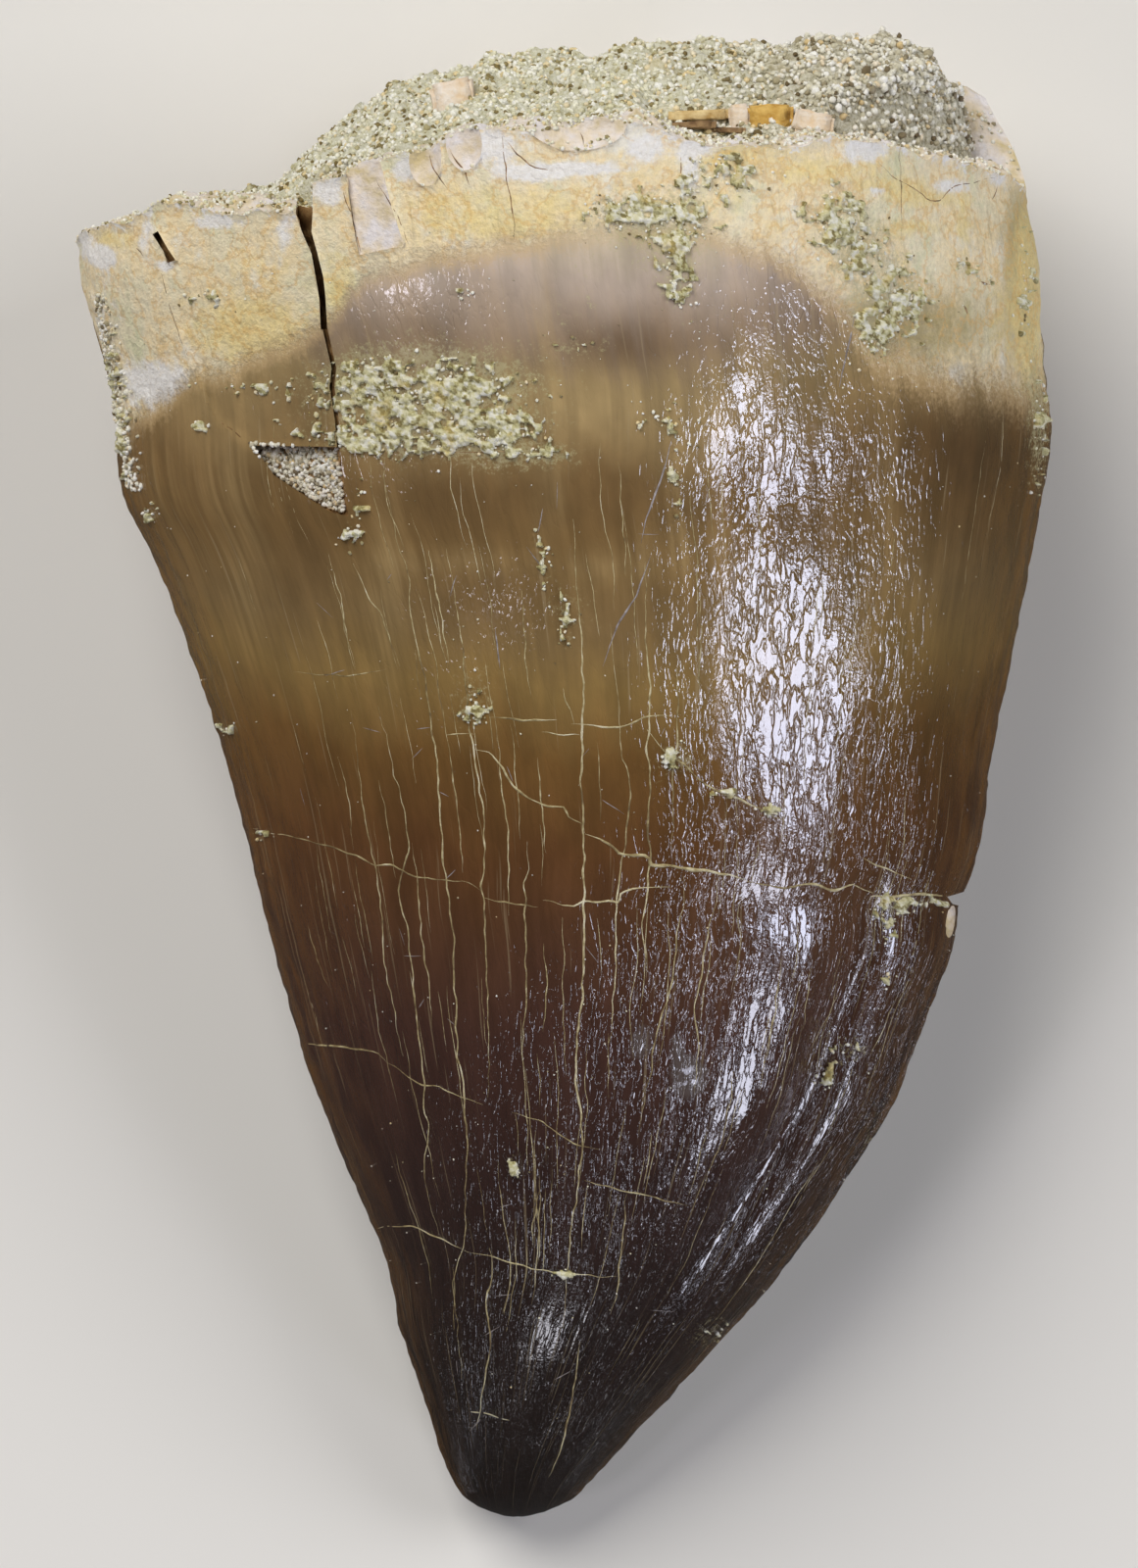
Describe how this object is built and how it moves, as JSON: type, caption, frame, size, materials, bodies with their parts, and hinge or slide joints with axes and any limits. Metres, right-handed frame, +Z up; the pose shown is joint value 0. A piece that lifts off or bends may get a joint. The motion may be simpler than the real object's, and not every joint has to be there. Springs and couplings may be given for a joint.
{
  "type": "fossil mosasaur tooth",
  "caption": "Stout conical fossil reptile tooth crown lying on its inner face, broken open at the base, where sandy sediment fills the pulp cavity",
  "frame": {"origin": "on the surface the tooth lies on, below the middle of its bounding box", "axes": "+Y runs from the worn tip to the broken base, +Z is up from the surface through the outer face, and +X runs across the crown to the cutting edge with the groove beside it"},
  "size_m": [0.0331, 0.0506, 0.0239],
  "materials": {
    "crown": "glossy brown fossil enamel, cream dentine at the broken base",
    "sediment": "pale sandy phosphatic sediment, rough and matt"
  },
  "bodies": {
    "root": {"tooth_crown": "crown", "cavity_matrix": "sediment"}
  },
  "joints": []
}
